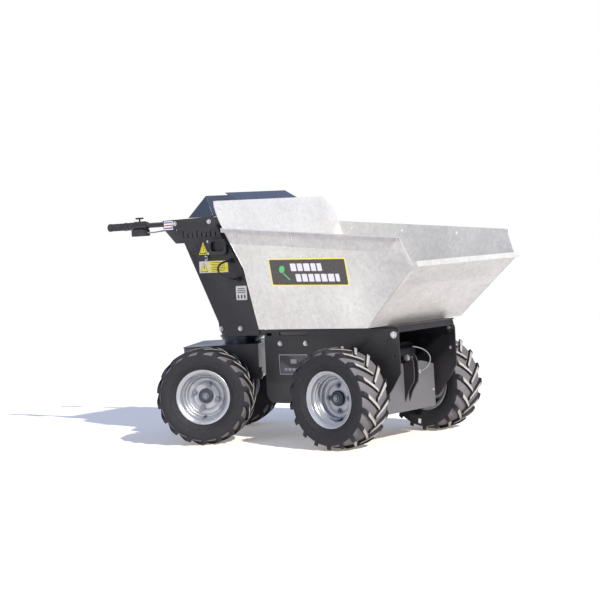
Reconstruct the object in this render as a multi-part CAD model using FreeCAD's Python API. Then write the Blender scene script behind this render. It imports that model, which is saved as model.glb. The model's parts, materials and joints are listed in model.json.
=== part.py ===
import FreeCAD
import Part
import math
import os

V = FreeCAD.Vector

# Machine axes: +X is the tipping end, +Y the machine's left, +Z up, ground at z = 0,
# x = 0 over the front axle, y = 0 on the centre line.  Everything is in millimetres.

# ---- wheels -----------------------------------------------------------------------
TYRE_R = 203.0
TYRE_HALF_W = 82.5
LUGS_PER_SIDE = 18
LUG_ANGLE = 42.0
LUG_START = -0.3
RIM_FLANGE_R = 116.0
BEAD_R = 101.6
TRACK_HALF = 316.0
STUB_R = 15.0
WHEEL_BOLT_PCR = 51.0
REAR_WHEEL_TURN = 18.0
RUN_CLEAR = 0.05
BEND_SHARE = 0.45

# ---- chassis ----------------------------------------------------------------------
PLATE_OUT = 191.5
PLATE_T = 5.0
PLATE_IN = PLATE_OUT - PLATE_T
CH_REAR = -490.0
CH_FRONT = 220.0
CH_TOP = 468.0
CH_BOTTOM = 161.0
AXLE_Z = TYRE_R
TIP_X, TIP_Z = 197.0, 443.0
TIP_BOLT_R = 8.0
CHASSIS_BOLT_X = (-403.5, -264.0)
CHASSIS_BOLT_Z = 411.0

# ---- rear bogie -------------------------------------------------------------------
BOGIE_X = -790.0
BOGIE_STEER = 30.5
BOGIE_TRAIL = 104.0
DISC_R = 92.0
KING_R = 12.5

# ---- skip -------------------------------------------------------------------------
SKIP_FLOOR_Z = 480.0
SKIP_HALF = 314.0
SKIP_FLARE = 0.145
SHEET = 3.0
RIM_REAR = (-518.0, 905.0)
RIM_FRONT = (383.0, 830.0)
LIP = (432.0, 716.0)
BACK_BEND = (-553.0, 973.0)
BACK_TOP = (-585.0, 1018.0)

# ---- console and handles ------------------------------------------------------------
CON_OUT = 197.0
CON_T = 5.0
CON_IN = CON_OUT - CON_T
TUBE_R = 11.0
TUBE_Y = CON_IN - TUBE_R
TUBE_Z = 937.0
GRIP_R = 16.5

NODES = {}


# ---- helpers ----------------------------------------------------------------------
def box(x0, x1, y0, y1, z0, z1):
    return Part.makeBox(x1 - x0, y1 - y0, z1 - z0, V(x0, y0, z0))


def cyl(start, direction, radius, length):
    return Part.makeCylinder(radius, length, V(*start), V(*direction))


def face_xz(points, y):
    wire = Part.makePolygon([V(x, y, z) for x, z in points + [points[0]]])
    return Part.Face(wire)


def slab_xz(points, y0, y1):
    """Plate whose outline is drawn in X and Z, from y0 to y1."""
    return face_xz(points, y0).extrude(V(0, y1 - y0, 0))


def slab_xy(points, z0, z1):
    wire = Part.makePolygon([V(x, y, z0) for x, y in points + [points[0]]])
    return Part.Face(wire).extrude(V(0, 0, z1 - z0))


def slab_yz(points, x0, x1):
    wire = Part.makePolygon([V(x0, y, z) for y, z in points + [points[0]]])
    return Part.Face(wire).extrude(V(x1 - x0, 0, 0))


def strip(points, t):
    """Outline of a bent sheet: the given line and its copy shifted to the left by t."""
    shifted = []
    last = len(points) - 1
    for i, (x, z) in enumerate(points):
        normals = []
        if i > 0:
            px, pz = points[i - 1]
            d = math.hypot(x - px, z - pz)
            normals.append((-(z - pz) / d, (x - px) / d))
        if i < last:
            nx, nz = points[i + 1]
            d = math.hypot(nx - x, nz - z)
            normals.append((-(nz - z) / d, (nx - x) / d))
        mx = sum(n[0] for n in normals) / len(normals)
        mz = sum(n[1] for n in normals) / len(normals)
        k = t / (mx * mx + mz * mz)
        shifted.append((x + mx * k, z + mz * k))
    return points + shifted[::-1]


def fuse(shapes):
    result = shapes[0]
    for other in shapes[1:]:
        result = result.fuse(other)
    return result.removeSplitter()


def group(shapes):
    solids = []
    for s in shapes:
        solids.extend(s.Solids)
    return Part.makeCompound(solids)


def mirror_y(shape):
    return shape.mirror(V(0, 0, 0), V(0, 1, 0))


def both(shape):
    """The shape and its mirror image on the other side of the machine."""
    return group([shape, mirror_y(shape)])


def hex_bolt(x, z, y, out, r, head):
    """Hexagon head standing on the face at y, pointing to out (+1 or -1)."""
    pts = []
    for i in range(6):
        a = math.radians(60 * i + 15)
        pts.append((x + r * math.cos(a), z + r * math.sin(a)))
    washer = cyl((x, y, z), (0, out, 0), r * 1.25, 1.6)
    hexa = face_xz(pts, y + out * 1.6).extrude(V(0, out * head, 0))
    dome = cyl((x, y + out * (1.6 + head), z), (0, out, 0), r * 0.62, 1.2)
    return fuse([washer, hexa, dome])


def pipe(name, points, radius):
    """Round cable or wire: straight runs joined by tangent arcs; prints length and bend radii."""
    vs = [V(*p) for p in points]
    edges, bends = [], []
    start = vs[0]
    for before, corner, after in zip(vs, vs[1:], vs[2:]):
        a, b = (corner - before).normalize(), (after - corner).normalize()
        turn = a.getAngle(b)
        reach = BEND_SHARE * min((corner - before).Length, (after - corner).Length)
        bend = reach / math.tan(turn / 2)
        leave, arrive = corner - a * reach, corner + b * reach
        middle = corner + (b - a).normalize() * (bend / math.cos(turn / 2) - bend)
        edges += [Part.makeLine(start, leave), Part.Arc(leave, middle, arrive).toShape()]
        bends.append(round(bend, 1))
        start = arrive
    edges.append(Part.makeLine(start, vs[-1]))
    path = Part.Wire(edges)
    print(name, "route", round(path.Length, 1), "mm, bend radii", bends)
    ring = Part.Wire(Part.makeCircle(radius, vs[0], vs[1] - vs[0]))
    return path.makePipeShell([ring], True, False)


def rounded_rect(cx, cz, w, h, r, y0, y1):
    """Plate in X and Z with rounded corners."""
    core = box(cx - w / 2 + r, cx + w / 2 - r, y0, y1, cz - h / 2, cz + h / 2)
    wide = box(cx - w / 2, cx + w / 2, y0, y1, cz - h / 2 + r, cz + h / 2 - r)
    parts = [core, wide]
    for sx in (-1, 1):
        for sz in (-1, 1):
            c = (cx + sx * (w / 2 - r), y0, cz + sz * (h / 2 - r))
            parts.append(cyl(c, (0, 1, 0), r, y1 - y0))
    return fuse(parts)


def skip_half_width(z):
    return SKIP_HALF + SKIP_FLARE * (z - SKIP_FLOOR_Z)


def to_bogie(shape):
    """Move a shape drawn about the king bolt, straight ahead, to its steered place."""
    moved = shape.copy()
    moved.rotate(V(0, 0, 0), V(0, 0, 1), BOGIE_STEER)
    moved.translate(V(BOGIE_X, 0, 0))
    return moved


# ---- wheels -----------------------------------------------------------------------
def revolve_rw(points):
    """Turn a closed outline of (radius, width) points about the Y axis; +width is -Y."""
    wire = Part.makePolygon([V(r, -w, 0) for r, w in points + [points[0]]])
    return Part.Face(wire).revolve(V(0, 0, 0), V(0, 1, 0), 360)


def make_tyre():
    outer = [
        (BEAD_R, 57.0), (106, 61.0), (117.5, 64.0), (128, 72.5), (145, 80.0), (163, TYRE_HALF_W),
        (171, 81.8), (176, 80.4), (180.5, 77.4), (184, 73.0), (187, 66.0), (189, 54.0),
        (190.4, 30.0), (191.0, 0.0),
    ]
    outer = outer + [(r, -w) for r, w in outer[-2::-1]]
    inner = [
        (BEAD_R, -42.0), (112, -44.0), (128, -57.0), (145, -67.0), (163, -70.0), (174, -66.0),
        (180, -50.0), (182, 0.0), (180, 50.0), (174, 66.0), (163, 70.0), (145, 67.0),
        (128, 57.0), (112, 44.0), (BEAD_R, 42.0),
    ]
    carcass = revolve_rw(outer + inner)
    lugs = []
    envelope = revolve_rw([
        (164, 81.5), (184, 80.5), (196.5, 75.5), (202.0, 66.0), (TYRE_R, 40.0),
        (TYRE_R, -40.0), (202.0, -66.0), (196.5, -75.5), (184, -80.5), (164, -81.5),
        (164, -76.0), (178, -70.0), (184.5, -50.0), (186.5, 0.0),
        (184.5, 50.0), (178, 70.0), (164, 76.0),
    ])
    pitch = 360.0 / LUGS_PER_SIDE
    for side in (-1, 1):
        for i in range(LUGS_PER_SIDE):
            inner, outer_end = (-52, 60) if side > 0 else (-60, 52)
            lug = box(-8.5, 8.5, inner, outer_end, 150, 210)
            lug.rotate(V(0, 0, 0), V(0, 0, 1), side * LUG_ANGLE)
            lug.translate(V(0, side * 41.0, 0))
            lug.rotate(V(0, 0, 0), V(0, 1, 0), pitch * (i + LUG_START + 0.25 * side))
            lugs.append(lug.common(envelope))
    return carcass.multiFuse(lugs)


def make_rim():
    barrel = strip([
        (RIM_FLANGE_R, 66.0), (106.5, 63.0), (BEAD_R, 57.5), (BEAD_R, 40.0),
        (97.0, 34.0), (97.0, -34.0), (BEAD_R, -40.0), (BEAD_R, -57.5),
        (106.5, -63.0), (RIM_FLANGE_R, -66.0),
    ], -3.2)
    disc = strip([
        (95.5, 26.0), (90.0, 13.0), (84.0, 8.0), (79.0, -2.0), (62.0, -6.0), (44.0, -2.0),
        (24.0, -2.0),
    ], -4.0)
    shell = revolve_rw(barrel).fuse(revolve_rw(disc))
    hub = revolve_rw([
        (STUB_R + RUN_CLEAR, 2.0), (27.0, 2.0), (27.0, -16.0), (38.0, -22.0), (38.0, -52.0),
        (STUB_R + RUN_CLEAR, -52.0),
    ])
    body = shell.fuse(hub)
    for i in range(4):
        a = math.radians(90 * i)
        x, z = WHEEL_BOLT_PCR * math.cos(a), WHEEL_BOLT_PCR * math.sin(a)
        pts = []
        for k in range(6):
            b = math.radians(60 * k)
            pts.append((x + 8.5 * math.cos(b), z + 8.5 * math.sin(b)))
        body = body.fuse(face_xz(pts, 5.0).extrude(V(0, -12.0, 0)))
    valve = cyl((8, -8, -86), (0, -1, 0), 3.6, 36)
    body = body.fuse(valve)
    return body.removeSplitter()


def place_wheel(shape, side, bogie):
    """side -1 is the machine's right wheel, +1 the left."""
    w = shape.copy()
    w.rotate(V(0, 0, 0), V(0, 1, 0), REAR_WHEEL_TURN if bogie else 0)
    if side > 0:
        w = mirror_y(w)
    w.translate(V(0, side * TRACK_HALF, AXLE_Z))
    if bogie:
        w.translate(V(-BOGIE_TRAIL, 0, 0))
        w = to_bogie(w)
    return w


tyre = make_tyre()
rim = make_rim()
for tag, side, on_bogie in (("fr", -1, False), ("fl", 1, False), ("rr", -1, True), ("rl", 1, True)):
    NODES["tyre_" + tag] = place_wheel(tyre, side, on_bogie)
    NODES["rim_" + tag] = place_wheel(rim, side, on_bogie)


# ---- chassis ----------------------------------------------------------------------
def chassis_outline():
    pts = [(CH_REAR, CH_TOP), (CH_REAR, 437), (CH_REAR - 6, 190), (CH_REAR + 22, CH_BOTTOM)]
    pts += [(116, CH_BOTTOM), (176, 228), (CH_FRONT, 290), (CH_FRONT, 438)]
    for i in range(1, 7):
        a = math.radians(90 * i / 6.0)
        pts.append((190 + 30 * math.cos(a), 438 + 30 * math.sin(a)))
    return pts


def chassis_side():
    plate = slab_xz(chassis_outline(), -PLATE_OUT, -PLATE_IN)
    cuts = [
        cyl((0, -200, AXLE_Z), (0, 1, 0), 36, 20),
        cyl((192.5, -200, 359), (0, 1, 0), 7, 20),
        cyl((TIP_X, -200, TIP_Z), (0, 1, 0), TIP_BOLT_R, 20),
        rounded_rect(-326, 451, 160, 17, 5, -200, -180),
        rounded_rect(-463, 449, 28, 13, 4, -200, -180),
    ]
    for x in CHASSIS_BOLT_X:
        cuts.append(cyl((x, -200, CHASSIS_BOLT_Z), (0, 1, 0), 5, 20))
    for c in cuts:
        plate = plate.cut(c)
    return plate


side_right = chassis_side()
NODES["chassis_side_right"] = side_right
NODES["chassis_side_left"] = mirror_y(side_right)

stiffener = box(-430, -220, -PLATE_IN, -PLATE_IN + 4, 396, 462)
for x in CHASSIS_BOLT_X:
    stiffener = stiffener.cut(cyl((x, -200, CHASSIS_BOLT_Z), (0, 1, 0), 5, 20))
cross = [
    box(CH_REAR, CH_REAR + 5, -PLATE_IN, PLATE_IN, CH_BOTTOM + 30, CH_TOP - 4),
    box(-145, -140, -PLATE_IN, PLATE_IN, CH_BOTTOM + 6, 430),
    box(CH_REAR + 24, -145, -PLATE_IN, PLATE_IN, CH_BOTTOM, CH_BOTTOM + 5),
    stiffener,
    mirror_y(stiffener),
    box(-140, -112, -PLATE_IN, PLATE_IN, 425, 430),
]
NODES["chassis_cross_plates"] = group(cross)

NODES["skip_buffers"] = group([
    cyl((-440, y, 463.9), (0, 0, 1), 17, SKIP_FLOOR_Z - 463.9 - 0.4) for y in (-110, 110)
] + [box(CH_REAR + 5, -410, -140, 140, 456, 463.9)])

bolts = []
for x in CHASSIS_BOLT_X:
    bolt = hex_bolt(x, CHASSIS_BOLT_Z, -PLATE_OUT, -1, 8.5, 6)
    bolts.append(bolt.fuse(cyl((x, -PLATE_OUT, CHASSIS_BOLT_Z), (0, 1, 0), 5, 11)))
NODES["chassis_bolts"] = both(group(bolts))

badge = rounded_rect(-335, 323.5, 156, 85, 3, -PLATE_OUT - 1.2, -PLATE_OUT)
raised = rounded_rect(-335, 323.5, 156, 85, 3, -PLATE_OUT - 2.4, -PLATE_OUT - 1.2)
raised = raised.cut(rounded_rect(-335, 323.5, 146, 75, 2, -PLATE_OUT - 3, -PLATE_OUT))
NODES["badge_plate"] = badge.fuse(raised).removeSplitter()


def tip_bolt():
    """Bolt from the outer face of the side plate through the skip bracket."""
    head = hex_bolt(TIP_X, TIP_Z, -PLATE_OUT, -1, 11.5, 8)
    shank = cyl((TIP_X, -PLATE_OUT, TIP_Z), (0, 1, 0), TIP_BOLT_R, 18)
    return head.fuse(shank)


NODES["tip_bolts"] = both(tip_bolt())


# ---- front drive ------------------------------------------------------------------
case = fuse([
    cyl((0, -70, AXLE_Z), (0, 1, 0), 78, 140),
    box(-40, 92, -62, 40, 214, 300),
    cyl((0, -92, AXLE_Z), (0, 1, 0), 52, 184),
])
tube_bore = cyl((0, -400, AXLE_Z), (0, 1, 0), 26, 800)
NODES["transaxle_case"] = case.cut(tube_bore)


def axle_half():
    """Axle tube from the gearbox, flange on the side plate, and the wheel's stub."""
    tube = cyl((0, -0.5, AXLE_Z), (0, -1, 0), 26, 229.5)
    flange = cyl((0, -PLATE_OUT, AXLE_Z), (0, -1, 0), 48, 8)
    stub = cyl((0, -230, AXLE_Z), (0, -1, 0), STUB_R, 96)
    collar = cyl((0, -230, AXLE_Z), (0, -1, 0), 22, 33.5)
    nut = cyl((0, -TRACK_HALF - 2.5, AXLE_Z), (0, -1, 0), 23, 12)
    return fuse([tube, flange, stub, collar, nut])


NODES["front_axle"] = both(axle_half())

motor = fuse([
    cyl((58, -78, 357), (0, 1, 0), 37, 158),
    cyl((58, -90, 357), (0, 1, 0), 25, 182),
    box(40, 76, -40, 20, 300, 340),
])
NODES["drive_motor"] = motor

guard_pts = [(-163, 119.5), (163, 119.5), (163, 295), (84, 314), (-84, 314), (-163, 295)]
guard_in = [(-160.5, 112), (160.5, 112), (160.5, 293.3), (83.5, 311.5), (-83.5, 311.5), (-160.5, 293.3)]
guard = slab_yz(guard_pts, 96, 120).cut(slab_yz(guard_in, 90, 117.5))
NODES["guard_box"] = guard

hook = [(120, 156), (139, 200), (168, 240), (173, 263), (172, 320), (163, 343), (150, 352)]
hook += [(134, 352), (124, 342), (120, 318)]
plates = []
for y in (-43, -15):
    p = slab_xz(hook, y, y + 6)
    plates.append(p.cut(cyl((143, y - 5, 337), (0, 1, 0), 6, 20)))
NODES["bracket_plates"] = group(plates)

bracket_bolt = fuse([
    cyl((143, -43, 337), (0, 1, 0), 6, 34),
    hex_bolt(143, 337, -43, -1, 11, 7),
    hex_bolt(143, 337, -9, 1, 11, 8),
])
screws = [cyl((120, y, 188), (1, 0, 0), 6, 3.5) for y in (-150, 150)]
NODES["guard_fasteners"] = group([bracket_bolt, cyl((120, 64, 272), (1, 0, 0), 8, 4)] + screws)

NODES["wire_loop"] = pipe("wire_loop", [
    (94.5, 60, 374), (116, 84, 368), (134, 112, 345), (137, 124, 318), (132, 112, 290),
    (128.5, 78, 274), (126.9, 64, 272),
], 2.5)

NODES["battery_pack"] = fuse([
    box(-470, -160, -170, 170, 170, 380),
    box(-450, -390, -120, -60, 380, 400),
    box(-450, -390, 60, 120, 380, 400),
])

# ---- rear tongue and turntable ------------------------------------------------------
tongue = box(BOGIE_X, CH_REAR, -DISC_R, DISC_R, 437, 445)
tongue = tongue.fuse(cyl((BOGIE_X, 0, 437), (0, 0, 1), DISC_R, 8))
tray = box(-702, CH_REAR, -PLATE_OUT, PLATE_OUT, 445, 450)
wall_pts = [(-736, 472), (-730, 460), (-717, 452), (-702, 450), (CH_REAR, 450), (CH_REAR, 496), (-738, 496)]
wall = slab_xz(wall_pts, -PLATE_OUT, -PLATE_IN)
walls = [wall, mirror_y(wall)]
frame = fuse([tongue, tray] + walls)
frame = frame.cut(cyl((BOGIE_X, 0, 430), (0, 0, 1), KING_R + RUN_CLEAR, 20))
for x in (-728.0, -617.0):
    frame = frame.cut(cyl((x, -210, 476), (0, 1, 0), 5, 420))
NODES["rear_tongue"] = frame

disc = cyl((BOGIE_X, 0, 431), (0, 0, 1), DISC_R + 6, 6)
NODES["turntable_upper"] = disc.cut(cyl((BOGIE_X, 0, 430), (0, 0, 1), KING_R + RUN_CLEAR, 20))

lower = cyl((0, 0, 404), (0, 0, 1), 80, 16).fuse(cyl((0, 0, 420), (0, 0, 1), DISC_R, 10.5))
king = cyl((0, 0, 404), (0, 0, 1), KING_R, 50)
hexpts = [(21 * math.cos(math.radians(60 * i)), 21 * math.sin(math.radians(60 * i))) for i in range(6)]
king_head = slab_xy(hexpts, 445.5, 458)
NODES["turntable_lower"] = to_bogie(fuse([lower, king, king_head]))

# ---- rear bogie -------------------------------------------------------------------
BOGIE_REAR, BOGIE_FRONT = -220.0, 107.0
side_pts = [
    (BOGIE_REAR, 400), (BOGIE_REAR, 262), (-168, 165), (-40, 165), (34, 250), (101, 254),
    (BOGIE_FRONT, 400),
]
bogie_side = slab_xz(side_pts, -190, -184)
bogie_side = bogie_side.cut(cyl((-BOGIE_TRAIL, -200, AXLE_Z), (0, 1, 0), 22, 30))
tab = slab_xz([(101, 300), (113, 300), (113, 262), (107, 250), (101, 250)], -176, -150)
NODES["bogie_box"] = to_bogie(group([
    bogie_side,
    mirror_y(bogie_side),
    slab_xz([(101, 256), (107, 400), (102, 400), (96, 256)], -184, 184),
    box(BOGIE_REAR, BOGIE_REAR + 5, -184, 184, 262, 400),
    tab,
]))
NODES["bogie_top_plate"] = to_bogie(box(BOGIE_REAR - 3, BOGIE_FRONT + 3, -193, 193, 400, 404))


def rear_axle():
    tube = cyl((-BOGIE_TRAIL, -228, AXLE_Z), (0, 1, 0), 22, 456)
    parts = [tube]
    for s in (-1, 1):
        parts.append(cyl((-BOGIE_TRAIL, s * 190, AXLE_Z), (0, s, 0), 38, 7))
        parts.append(cyl((-BOGIE_TRAIL, s * 228, AXLE_Z), (0, s, 0), STUB_R, 98))
        parts.append(cyl((-BOGIE_TRAIL, s * (TRACK_HALF + 2.5), AXLE_Z), (0, s, 0), 23, 12))
        parts.append(cyl((-BOGIE_TRAIL, s * 228, AXLE_Z), (0, s, 0), 21.5, 35.5))
    return fuse(parts)


NODES["rear_axle"] = to_bogie(rear_axle())
NODES["bogie_bolts"] = to_bogie(cyl((113, -163, 270), (1, 0, 0), 9, 5))


# ---- skip -------------------------------------------------------------------------
def wedge(inset, z_low, z_high):
    """Space between the two flared sides, drawn in by inset."""
    a = skip_half_width(z_low) - inset
    b = skip_half_width(z_high) - inset
    return slab_yz([(-a, z_low), (a, z_low), (b, z_high), (-b, z_high)], -700, 600)


def make_tub():
    rear_kink = (-438.0, 733.0)
    fold_low, fold_high = (166.0, SKIP_FLOOR_Z), (192.0, 504.0)
    outer = [(-407, SKIP_FLOOR_Z), fold_low, fold_high, LIP, RIM_FRONT, RIM_REAR, rear_kink]
    line = [RIM_REAR, rear_kink, (-407.0, SKIP_FLOOR_Z), fold_low, fold_high, LIP]
    inner_line = strip(line, SHEET)[len(line):][::-1]
    inner = inner_line + [(470, 760), (470, 1000), (-540, 1000)]
    solid = slab_xz(outer, -450, 450).common(wedge(0, 470, 1100))
    hollow = slab_xz(inner, -450, 450).common(wedge(SHEET, 470, 1100))
    tub = solid.cut(hollow)
    # raised back with chamfered corners, bent once more near the top
    back = slab_xz(strip([(-509.2, 886.0), RIM_REAR, BACK_BEND, BACK_TOP], -SHEET), -450, 450)
    half = skip_half_width(886.0)
    outline = [(-half, 886), (half, 886), (376, 905), (378, 940), (374, 975), (364, 998), (342, 1030)]
    outline += [(-342, 1030), (-364, 998), (-374, 975), (-378, 940), (-376, 905)]
    back = back.common(slab_yz(outline, -700, -400))
    tub = tub.fuse(back)
    # turned-out, turned-down rim along both sides
    for s in (-1, 1):
        y0 = skip_half_width(RIM_REAR[1])
        z0 = RIM_REAR[1]
        pts = [(y0 - 3, z0), (y0 + 13, z0), (y0 + 13, z0 - 17), (y0 + 10, z0 - 17)]
        pts += [(y0 + 10, z0 - 3), (y0 - 3, z0 - 3)]
        wire = Part.makePolygon([V(RIM_REAR[0], s * y, z) for y, z in pts + [pts[0]]])
        run = V(RIM_FRONT[0] - RIM_REAR[0],
                s * (skip_half_width(RIM_FRONT[1]) - y0), RIM_FRONT[1] - z0)
        tub = tub.fuse(Part.Face(wire).extrude(run))
    # pouring lip
    half = skip_half_width(LIP[1])
    lip = slab_xz(strip([(417, 702.75), LIP, (447, 730), (452, 714)], SHEET), -half, half)
    tub = tub.fuse(lip)
    for x in (-437.0, -156.0, 133.0):
        z = RIM_REAR[1] + (RIM_FRONT[1] - RIM_REAR[1]) * (x - RIM_REAR[0]) / 901.0 - 26
        tub = tub.cut(cyl((x, -450, z), (0, 1, 0), 5.5, 900))
    tub = tub.cut(cyl((-600, 0, 958), (1, 0, 0), 6, 100))
    return tub.removeSplitter()


NODES["skip_tub"] = make_tub()


def skip_bracket():
    """Plate under the skip with the tipping bore."""
    pts = [(112, 475), (214, 475), (218, 462), (213, 434), (197, 421), (181, 429), (160, 452), (112, 462)]
    plate = slab_xz(pts, -PLATE_IN + 0.8, -PLATE_IN + 6.8)
    return plate.cut(cyl((TIP_X, -200, TIP_Z), (0, 1, 0), TIP_BOLT_R + RUN_CLEAR, 30))


NODES["skip_brackets"] = group([
    fuse([
        box(112, 214, -195, 195, 475, SKIP_FLOOR_Z),
        box(210, 214, -PLATE_IN + 6.8, PLATE_IN - 6.8, 452, 475),
        skip_bracket(),
        mirror_y(skip_bracket()),
        box(-380, 112, -150, -110, 476.5, SKIP_FLOOR_Z),
        box(-380, 112, 110, 150, 476.5, SKIP_FLOOR_Z),
    ]),
])

guard_line = [(-561.16, 984.2), (-584.12, 1016.5), (-660.12, 1055.4)]
NODES["skip_guard_plate"] = slab_xz(strip(guard_line, SHEET), -193, 193)
nd = math.hypot(32, 45)
heads = []
for y in (-150, 0, 150):
    c = (-572.62 - SHEET * 45 / nd, y, 1000.3 - SHEET * 32 / nd)
    heads.append(cyl(c, (-45 / nd, 0, -32 / nd), 6.5, 3.5))
NODES["skip_guard_bolts"] = group(heads)


def decal(side):
    """Thin panel lying on the flared side of the skip."""
    tilt = math.degrees(math.atan(SKIP_FLARE))
    d = rounded_rect(0, 0, 402, 113, 7, -0.8, 0)
    d.rotate(V(0, 0, 0), V(0, 1, 0), 1.3)
    d.rotate(V(0, 0, 0), V(1, 0, 0), tilt)
    d.translate(V(-94, -skip_half_width(710), 710))
    return d if side < 0 else mirror_y(d)


NODES["skip_decals"] = group([decal(-1), decal(1)])


# ---- console ----------------------------------------------------------------------
def console_side():
    pts = [
        (-702, 450), (-722, 454), (-735, 463), (-741, 478), (-743, 503), (-917, 850), (-968, 850),
        (-1038, 917), (-1041, 953), (-778, 957), (-736, 956), (-695, 869), (-660, 835), (-592, 740),
        (-545, 600), (-512, 470), (-512, 450),
    ]
    plate = slab_xz(pts, -CON_OUT, -CON_IN)
    for i in range(8):
        x = -916 + 27.5 * i
        h = 30 if i % 3 == 0 else 20
        plate = plate.cut(rounded_rect(x, 872 + h / 2, 15, h, 4, -210, -180))
    holes = [(-728, 476, 5), (-617, 476, 5), (-966, TUBE_Z, 4), (-761, TUBE_Z, 4)]
    holes += [(-961, 908, 4), (-951, 886, 2.5), (-790, 781, 9)]
    for x, z, r in holes:
        plate = plate.cut(cyl((x, -210, z), (0, 1, 0), r, 30))
    return plate


right = console_side()
NODES["console_side_right"] = right
left = right
for x, z, r in ((-790, 781, 9.0),):
    left = left.fuse(cyl((x, -CON_OUT, z), (0, 1, 0), r, CON_T))
NODES["console_side_left"] = mirror_y(left.removeSplitter())

front_line = [(-516, 500), (-549, 600), (-597, 741), (-665, 837), (-700, 870), (-738, 950)]
rear_line = [(-741, 500), (-915, 848), (-886, 956)]
NODES["console_covers"] = group([
    slab_xz(strip(front_line, 2.5), -CON_IN, CON_IN),
    slab_xz(strip(rear_line, -2.5), -CON_IN + 2 * TUBE_R + 1, CON_IN - 2 * TUBE_R - 1),
])

hood_out = [(-884, 957.5), (-771, 1048), (-735, 957.5)]
hood_in = [(-876, 950), (-876, 957.5), (-772.3, 1042.5), (-739.2, 957.5), (-739.2, 950)]
hood = slab_xz(hood_out, -CON_OUT, CON_OUT)
hood = hood.cut(slab_xz(hood_in, -CON_OUT + 4, CON_OUT - 4))
NODES["console_hood"] = hood


def console_bolt(x, z, deep):
    head = hex_bolt(x, z, -CON_OUT, -1, 8.5, 6)
    r = 5 if deep < 20 else 4
    return head.fuse(cyl((x, -CON_OUT, z), (0, 1, 0), r, deep))


NODES["console_bolts"] = both(group([
    console_bolt(-728, 476, 10), console_bolt(-617, 476, 10),
    console_bolt(-966, TUBE_Z, 27), console_bolt(-761, TUBE_Z, 27),
]))

# ---- handles ----------------------------------------------------------------------
HANDLE_END = -1393.0
GRIP_END = -1284.0


def handle_tube():
    outer = cyl((HANDLE_END + 4, -TUBE_Y, TUBE_Z), (1, 0, 0), TUBE_R, 644)
    tube = outer.cut(cyl((HANDLE_END + 2, -TUBE_Y, TUBE_Z), (1, 0, 0), TUBE_R - 2, 660))
    for x in (-966, -761):
        tube = tube.cut(cyl((x, -CON_OUT, TUBE_Z), (0, 1, 0), 4, 60))
    return tube


NODES["handle_tube_right"] = handle_tube()
NODES["handle_tube_left"] = mirror_y(handle_tube())


def grip(y, bore, x0, x1):
    """Ribbed rubber grip closed at its rear end."""
    body = cyl((x0, y, TUBE_Z), (1, 0, 0), GRIP_R, x1 - x0)
    body = body.fuse(cyl((x0 + 1, y, TUBE_Z), (1, 0, 0), GRIP_R + 1.2, 6))
    body = body.fuse(cyl((x1 - 7, y, TUBE_Z), (1, 0, 0), GRIP_R + 2.0, 5))
    for i in range(7):
        x = x0 + 18 + i * 11.5
        ring = cyl((x, y, TUBE_Z), (1, 0, 0), GRIP_R + 5, 3)
        body = body.cut(ring.cut(cyl((x, y, TUBE_Z), (1, 0, 0), GRIP_R - 1.2, 3)))
    return body.cut(cyl((HANDLE_END + 3.5, y, TUBE_Z), (1, 0, 0), bore, 400))


NODES["throttle_grip"] = grip(-TUBE_Y, TUBE_R + RUN_CLEAR, HANDLE_END, GRIP_END)
NODES["grip_left"] = grip(TUBE_Y, TUBE_R, HANDLE_END, GRIP_END + 14)

tube_hole = cyl((-1450, -TUBE_Y, TUBE_Z), (1, 0, 0), TUBE_R, 800)
collar = fuse([
    cyl((-1283.4, -TUBE_Y, TUBE_Z), (1, 0, 0), 17, 20),
    cyl((-1263.4, -TUBE_Y, TUBE_Z), (1, 0, 0), 15, 5),
    cyl((-1258.4, -TUBE_Y, TUBE_Z), (1, 0, 0), 17.5, 28.4),
    box(-1252, -1238, -TUBE_Y - 21, -TUBE_Y, TUBE_Z - 5, TUBE_Z + 5),
])
NODES["throttle_collar"] = collar.cut(tube_hole)

housing = fuse([
    cyl((-1229.5, -TUBE_Y, TUBE_Z), (1, 0, 0), 16.5, 77),
    box(-1222, -1172, -TUBE_Y - 13, -TUBE_Y + 13, TUBE_Z, TUBE_Z + 20),
])
housing = housing.cut(tube_hole)
slot = box(-1216.5, -1183.5, -TUBE_Y - 3.5, -TUBE_Y + 3.5, TUBE_Z + 12.5, TUBE_Z + 30)
housing = housing.cut(slot)
pin_hole = cyl((-1200, -TUBE_Y - 8, TUBE_Z + 16.5), (0, 1, 0), 2.0, 16)
NODES["switch_housing"] = housing.cut(pin_hole)

lever = fuse([
    cyl((-1200, -TUBE_Y - 3, TUBE_Z + 16.5), (0, 1, 0), 3.6, 6),
    box(-1202.5, -1197.5, -TUBE_Y - 3, -TUBE_Y + 3, TUBE_Z + 17, TUBE_Z + 30),
    rounded_rect(-1200, TUBE_Z + 33.5, 36, 8, 3.5, -TUBE_Y - 8, -TUBE_Y + 8),
])
lever_pin = cyl((-1200, -TUBE_Y - 8, TUBE_Z + 16.5), (0, 1, 0), 1.95, 16)
NODES["direction_lever"] = lever.fuse(lever_pin)

pod = fuse([
    rounded_rect(-1198, 906, 78, 30, 5, -TUBE_Y - 19, -TUBE_Y + 19),
    box(-1222, -1174, -TUBE_Y - 9, -TUBE_Y + 9, 915, 928),
    cyl((-1160, -TUBE_Y, 905), (1, 0, 0), 5, 8),
])
pod = pod.cut(tube_hole).cut(cyl((-1229.5, -TUBE_Y, TUBE_Z), (1, 0, 0), 16.5, 77))
pod = pod.cut(cyl((-1245, -TUBE_Y, TUBE_Z), (1, 0, 0), 17.8, 15.5))
pod = pod.cut(cyl((-1240, -TUBE_Y, 905), (1, 0, 0), 9.0, 12))
NODES["control_pod"] = pod
NODES["pod_button"] = cyl((-1241.5, -TUBE_Y, 905), (1, 0, 0), 8.7, 8)

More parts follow.
